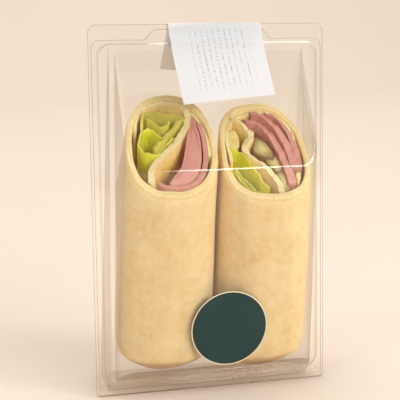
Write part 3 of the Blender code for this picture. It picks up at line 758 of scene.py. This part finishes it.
def standing_lump(name, half, points, lift, crown):
    """A lump that stands in the half with a rounded top."""
    ring = [Vector(point) for point in points]
    count, steps = len(ring), 8
    knots = []
    for i in range(count):
        a, b, c, d = (ring[(i + k) % count] for k in (-1, 0, 1, 2))
        knots += [curve_point(a, b, c, d, step / steps) for step in range(steps)]
    middle = sum(knots, Vector((0, 0))) / len(knots)
    # Stations from the middle of the foot to the middle of the top: (share of the ring, rise, bulge)
    rows = [(0, 0, 0), (0.5, 0, 0), (1, 0, 0)]
    rows += [(1, up, 0) for up in (0.2, 0.4, 0.6, 0.75, 0.85, 0.92, 0.96)]
    rows += [(math.cos(turn), 1, math.sin(turn)) for turn in (math.radians(8 * k) for k in range(11))]
    rows += [(0, 1, 1)]

    def place_vert(along, up):
        share, rise, bulge = rows[up]
        spot = middle.lerp(knots[along % len(knots)], max(share, 1e-5))
        uneven = 0.5 * noise.noise(Vector((spot.x * 0.4, spot.y * 0.4, half.seed)))
        top = half.cut(spot.y) + lift - crown + uneven
        w = FLOOR + (top - FLOOR) * rise + crown * bulge
        return (spot.x, spot.y, w), (1 - share, top - FLOOR - (top - FLOOR) * rise)

    piece = mapped_grid(name, len(knots), len(rows) - 1, place_vert, ("inward", "below_cut"), True)
    bpy.ops.object.shade_smooth()
    settle(piece, half.place)
    return piece


# The left half's inner ham is one thick folded slice with two thin ones on its cut.
inner_ham = [
    (15.8, 11.6), (17.0, 4.6), (16.6, -2.6), (15.2, -7.8), (12.6, -11.9), (8, -14.7),
    (2, -15.9), (-3.2, -15.5), (3, -12.5), (6.2, -8), (8.8, -2.6), (11.4, 3.0), (13.6, 8),
]
folds = [standing_lump("ham_left_inner_fold", left_half, inner_ham, lift=0.0, crown=0.7)]
folds += [
    standing_sheet(
        f"ham_left_inner_slice_{number}", left_half, points, 1.5, lift, wave=0.3, ragged=0.7,
        seed=51.0 + 4 * number)
    for number, (lift, points) in enumerate([
        (0.5, [(14.4, 10.6), (12.0, 5.4), (9.6, 0), (7.4, -5.2), (4.8, -10), (0.4, -13.8)]),
        (0.2, [(15.4, 10.8), (15.2, 7.6), (16.2, 3.4), (16.0, -1.6)]),
    ])
]
for fold in folds:
    fold.data.materials.append(ham_finish)
    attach(fold, "root")
    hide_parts("ham_left_inner")


# Cheese and pickles: lumps and slices packed between the leaves and the ham. The cheese is pale yellow and
# smooth; the pickle slices are a dull olive with a pale wet middle and a brown skin.
cheese_finish, tree, shader = new_finish(
    "yellow_cheese", Roughness=0.4, Specular_IOR_Level=0.4,
    Subsurface_Weight=0.3, Subsurface_Scale=0.004, Subsurface_Radius=(1.0, 0.7, 0.3),
)
relief = add_relief(tree, shader, 150.0, 500.0, 0.0003)
yellow = patchy(tree, relief, tint(236, 216, 146), tint(226, 200, 116))
tree.links.new(yellow, shader.inputs["Base Color"])

pickle_finish, tree, shader = new_finish(
    "pickle_slice", Roughness=0.3, Specular_IOR_Level=0.5,
    Subsurface_Weight=0.3, Subsurface_Scale=0.004, Subsurface_Radius=(0.9, 0.9, 0.4),
)
relief = add_relief(tree, shader, 160.0, 500.0, 0.0004)
flesh = patchy(tree, relief, tint(196, 178, 112), tint(170, 148, 84))
flesh = mixed(tree, fade(tree, mark(tree, "inward"), 0.32, 0.05), flesh, tint(140, 96, 52))
core = fade(tree, mark(tree, "inward"), 0.4, 0.8)
flesh = mixed(tree, product(tree, core, 0.8), flesh, tint(222, 204, 146))
tree.links.new(flesh, shader.inputs["Base Color"])

# Each lump: node, slot, material, lift over the cut, height of its rounded top, outline
lumps = [
    ("cheese_right_slice", "cheese", cheese_finish, -1.6, 0.2,
     [(-19.6, 7.4), (-16.4, 9.8), (-12.8, 10.4), (-11.6, 6.4), (-12.6, 3.6), (-16, 3.0), (-19.4, 4.0)]),
    ("cheese_right_edge", "cheese", cheese_finish, 0.5, 0.8,
     [(15.0, -10.9), (17.6, -10.6), (16.8, -13.2), (14.8, -13.8)]),
    ("pickle_right_back", "pickle", pickle_finish, -1.4, 0.5,
     [(-2.5, 7.2), (1.5, 6.0), (4.8, 2.2), (6.0, -0.6), (4.2, -2.4), (-1.2, -1.8), (-5.2, 1.0),
      (-4.6, 4.2)]),
    ("pickle_right_middle", "pickle", pickle_finish, -1.5, 0.5,
     [(4.4, -2.8), (6.6, -1.0), (8.6, -5.0), (8.8, -8.0), (5.4, -8.6), (1.6, -5.8), (0.4, -2.8)]),
    ("pickle_right_front", "pickle", pickle_finish, -1.6, 0.7,
     [(5.0, -8.8), (8.8, -8.4), (10.2, -12.5), (10.0, -17.0), (7.2, -17.6), (6.0, -13)]),
]
for name, slot, finish, lift, crown, points in lumps:
    lump = standing_lump(f"{name}_lump", right_half, points, lift, crown)
    lump.data.materials.append(finish)
    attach(lump, "root")
    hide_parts(name)


# The seal label: a strip of white coated paper, folded over the pack's top edge and stuck to both halves.
# Rows of faint grey bars stand where such a label has small print.
LABEL_WIDTH, LABEL_LENGTH, LABEL_TURN = 50.4, 72.0, math.radians(5)
# The label's middle: across the pack, and along its way in front of the fold
LABEL_X, LABEL_WAY = 3.8, 7.4
# Its front end's height at the most, its back end's distance below the shoulder, and the fold's height
LABEL_LOW, LABEL_BACK, LABEL_FOLD = 141, 24, 195.42
PRINT_ROWS, PRINT_BREAKS = 16.0, 52.0
# From the mould's face to the middle of the paper: the sheet, a gap and half the paper
AWAY = SHEET + 0.3 + 0.1


def label_profile():
    """The label's way over the pack: (distance from the fold, depth, height), front positive."""
    front_away, back_away = AWAY * math.hypot(1, PANEL_SLOPE), AWAY * math.hypot(1, SHOULDER_SLOPE)
    knee = CREASE + (panel_depth(CREASE) + front_away - RIM_STEP - AWAY) / PANEL_SLOPE
    back_knee = SHOULDER + (SHOULDER_DEPTH + back_away - RIM_STEP - AWAY) / SHOULDER_SLOPE
    corners = [
        (-panel_depth(LABEL_LOW) - front_away, LABEL_LOW), (-panel_depth(knee - 3) - front_away, knee - 3),
        (-(RIM_STEP + AWAY), knee + 2), (-(RIM_STEP + AWAY), 185.4), (-(AWAY + 1.2), 187.6),
        (-(AWAY + 0.2), 190.5), (-(AWAY + 0.15), 194.6), (-0.5, LABEL_FOLD), (0.5, LABEL_FOLD),
        (AWAY + 0.15, 194.6), (AWAY + 0.2, 189), (RIM_STEP + AWAY, 185.4), (RIM_STEP + AWAY, back_knee),
        (SHOULDER_DEPTH + back_away + SHOULDER_SLOPE * LABEL_BACK, SHOULDER - LABEL_BACK),
    ]
    ways = [0.0]
    for (y0, z0), (y1, z1) in zip(corners, corners[1:]):
        ways.append(ways[-1] + math.hypot(y1 - y0, z1 - z0))
    fold = (ways[7] + ways[8]) / 2
    return [(fold - way, y, z) for way, (y, z) in zip(ways, corners)]


profile = label_profile()
bpy.ops.object.select_all(action="DESELECT")
bpy.ops.mesh.primitive_grid_add(x_subdivisions=50, y_subdivisions=160, size=1)
label = named("seal_label")
for vert in label.data.vertices:
    across, along = vert.co.x * LABEL_WIDTH, vert.co.y * LABEL_LENGTH
    x = LABEL_X + across * math.cos(LABEL_TURN) + along * math.sin(LABEL_TURN)
    way = LABEL_WAY - across * math.sin(LABEL_TURN) + along * math.cos(LABEL_TURN)
    for (way_a, y_a, z_a), (way_b, y_b, z_b) in zip(profile, profile[1:]):
        if way_a + 1e-4 >= way >= way_b - 1e-4:
            part = (way_a - way) / (way_a - way_b)
            vert.co = (x, y_a + part * (y_b - y_a), z_a + part * (z_b - z_a))
            break
modify(label, "SMOOTH", factor=0.5, iterations=2)
modify(label, "SOLIDIFY", thickness=0.18, offset=0.0)
bpy.ops.object.shade_smooth_by_angle(angle=math.radians(40))
settle(label, PACK_FRAME)

label_finish, tree, shader = new_finish(
    "white_label_paper", Roughness=0.5, Specular_IOR_Level=0.35,
    Subsurface_Weight=0.45, Subsurface_Scale=0.002, Subsurface_Radius=(1.0, 0.9, 0.8),
)
flat_place = add_node(tree, "ShaderNodeTexCoord").outputs["UV"]
face_map = add_node(tree, "ShaderNodeSeparateXYZ", {"Vector": flat_place})
across, along = face_map.outputs["X"], face_map.outputs["Y"]
rows = product(tree, across, PRINT_ROWS)
row, within = work_out(tree, "FLOOR", rows), work_out(tree, "FRACT", rows)
line = product(tree, fade(tree, within, 0.36, 0.42), fade(tree, within, 0.62, 0.56))
breaks = product(tree, along, PRINT_BREAKS)
spot = add_node(tree, "ShaderNodeCombineXYZ", {"X": row, "Y": breaks}).outputs[0]
line = product(tree, line, fade(tree, clouds(tree, spot, 1.3), 0.46, 0.54))
chosen = clouds(tree, add_node(tree, "ShaderNodeCombineXYZ", {"X": row}).outputs[0], 2.3)
line = product(tree, line, fade(tree, chosen, 0.44, 0.5))
line = product(tree, line, product(tree, fade(tree, across, 0.2, 0.23), fade(tree, across, 0.9, 0.87)))
line = product(tree, line, product(tree, fade(tree, along, 0.44, 0.46), fade(tree, along, 0.95, 0.86)))
paper = mixed(tree, product(tree, line, 0.5), tint(219, 222, 226), tint(96, 98, 104))
# The half behind the fold, which is seen through the pack, is painted lighter and warmer: painted light
# standing in for the light that passes through the paper.
paper = mixed(tree, fade(tree, along, 0.41, 0.38), paper, tint(255, 240, 230))
tree.links.new(paper, shader.inputs["Base Color"])
label.data.materials.append(label_finish)
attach(label, "root")
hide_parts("label")


# The round sticker low on the lid's face: dark green coated paper with a thin cream edge, left plain.
STICKER_RADIUS, STICKER_X, STICKER_HEIGHT = 20.8, 4.4, 36.0
bpy.ops.object.select_all(action="DESELECT")
bpy.ops.mesh.primitive_cylinder_add(vertices=128, radius=STICKER_RADIUS, depth=0.2)
sticker = named("round_sticker")
bpy.ops.object.mode_set(mode="EDIT")
pick(sticker, "faces", lambda face: abs(face.normal.z) > 0.9)
bpy.ops.mesh.inset(thickness=0.75)
bpy.ops.mesh.inset(thickness=0.5)
pick(sticker, "edges", lambda edge: abs(edge.verts[0].co.z - edge.verts[1].co.z) < 1e-4 and all(
    vert.co.xy.length > STICKER_RADIUS - 0.01 for vert in edge.verts))
bpy.ops.mesh.bevel(offset=0.05, segments=2, affect="EDGES")
bpy.ops.object.mode_set(mode="OBJECT")
bpy.ops.object.shade_smooth_by_angle(angle=math.radians(30))
settle(sticker, PACK_FRAME @ Matrix.Translation((
    STICKER_X, -face_depth(STICKER_HEIGHT) - AWAY * math.cos(HALF_TILT),
    STICKER_HEIGHT - AWAY * math.sin(HALF_TILT))) @ Matrix.Rotation(math.pi / 2 + HALF_TILT, 4, "X"))
sticker_centre = PACK_FRAME @ Vector((STICKER_X, -face_depth(STICKER_HEIGHT), STICKER_HEIGHT))

sticker_finish, tree, shader = new_finish("dark_green_paper", Roughness=0.5, Specular_IOR_Level=0.2)
offset = add_node(
    tree, "ShaderNodeVectorMath", {0: object_place(tree), 1: tuple(sticker_centre)}, operation="SUBTRACT")
# How far a point is from the sticker's middle, in metres; the dark ring and the cream edge lie outside.
reach = add_node(tree, "ShaderNodeVectorMath", {0: offset.outputs[0]}, operation="LENGTH").outputs["Value"]
mottle = clouds(tree, offset.outputs[0], 90.0)
green = mixed(tree, fade(tree, mottle, 0.3, 0.7), tint(34, 57, 55), tint(38, 62, 60))
green = mixed(tree, fade(tree, reach, 0.0195, 0.0199), green, tint(28, 42, 40))
green = mixed(tree, fade(tree, reach, 0.0201, 0.0203), green, tint(222, 208, 176))
tree.links.new(green, shader.inputs["Base Color"])
sticker.data.materials.append(sticker_finish)
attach(sticker, "root")
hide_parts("sticker")


# The studio: a sheet of warm paper that runs from the table up behind the pack, large soft lamps and the
# camera at the photograph's angle.
bpy.ops.object.select_all(action="DESELECT")
bpy.ops.mesh.primitive_grid_add(x_subdivisions=8, y_subdivisions=80, size=1)
backdrop = named("backdrop")
width, length, start = 8.0, 6.0, -2.2
flat, radius = 1.6, 1.2
for vert in backdrop.data.vertices:
    reach = (vert.co.y + 0.5) * length + start
    if reach <= flat:
        y, z = reach, 0.0
    elif reach <= flat + radius * math.pi / 2:
        turn = (reach - flat) / radius
        y, z = flat + radius * math.sin(turn), radius * (1 - math.cos(turn))
    else:
        y, z = flat + radius, radius + reach - flat - radius * math.pi / 2
    vert.co = (vert.co.x * width, y, z)
bpy.ops.object.shade_smooth()
paper_finish, tree, shader = new_finish("warm_paper", Roughness=0.9, Specular_IOR_Level=0.1)
grain = fade(tree, clouds(tree, object_place(tree), 4.0), 0.3, 0.7)
paper = mixed(tree, grain, (0.88, 0.755, 0.64, 1), (0.895, 0.77, 0.655, 1))
tree.links.new(paper, shader.inputs["Base Color"])
backdrop.data.materials.append(paper_finish)


def soft_lamp(name, place, target, width, height, power, colour):
    bpy.ops.object.light_add(type="AREA", location=place)
    lamp = bpy.context.object
    lamp.name = name
    lamp.data.shape = "RECTANGLE"
    lamp.data.size, lamp.data.size_y = width, height
    lamp.data.energy = power
    lamp.data.color = colour
    lamp.rotation_euler = (Vector(target) - Vector(place)).to_track_quat("-Z", "Y").to_euler()


soft_lamp("key_lamp", (0.90, -1.15, 0.62), (0, 0, 0.1), 1.3, 0.42, 14, (1.0, 0.985, 0.965))
soft_lamp("edge_lamp", (1.0, -0.9, 1.3), (0, 0, 0.15), 0.2, 0.8, 4.5, (1.0, 0.99, 0.97))
soft_lamp("side_lamp", (-1.5, -0.8, 0.7), (0, 0, 0.1), 0.5, 1.0, 4, (1.0, 0.98, 0.96))
soft_lamp("top_lamp", (-0.35, -0.2, 1.5), (0, 0, 0.1), 2.4, 0.12, 4.8, (1.0, 0.985, 0.96))
soft_lamp("back_lamp", (0.5, 0.9, 1.8), (0.3, 2.3, 0.5), 1.8, 0.8, 14, (1.0, 0.985, 0.96))
world = bpy.data.worlds.new("soft_room")
bpy.context.scene.world = world
world.use_nodes = True
tree = world.node_tree
# The room is darker where the slanted panel mirrors it, so that the cut shows clearly through the panel.
direction = add_node(tree, "ShaderNodeTexCoord").outputs["Generated"]
toward = add_node(
    tree, "ShaderNodeVectorMath", {0: direction, 1: (0.171, -0.686, 0.707)}, operation="DOT_PRODUCT")
mirrored = fade(tree, toward.outputs["Value"], 0.72, 0.95)
room = mixed(tree, mirrored, (0.74, 0.725, 0.705, 1), (0.2, 0.195, 0.19, 1))
tree.links.new(room, tree.nodes["Background"].inputs["Color"])
# Many clear walls lie one behind another, and each is a step through.
bpy.context.scene.cycles.transparent_max_bounces = 48
bpy.context.scene.cycles.caustics_reflective = False

bpy.ops.object.camera_add(
    location=(-0.172155, -0.593607, 0.214781), rotation=(1.389695, 0.000133, -0.274124))
camera = bpy.context.object
camera.name = "camera"
camera.data.sensor_width = 36.0
camera.data.lens = 105.863
bpy.context.scene.camera = camera
bpy.context.scene.view_settings.view_transform = "Standard"
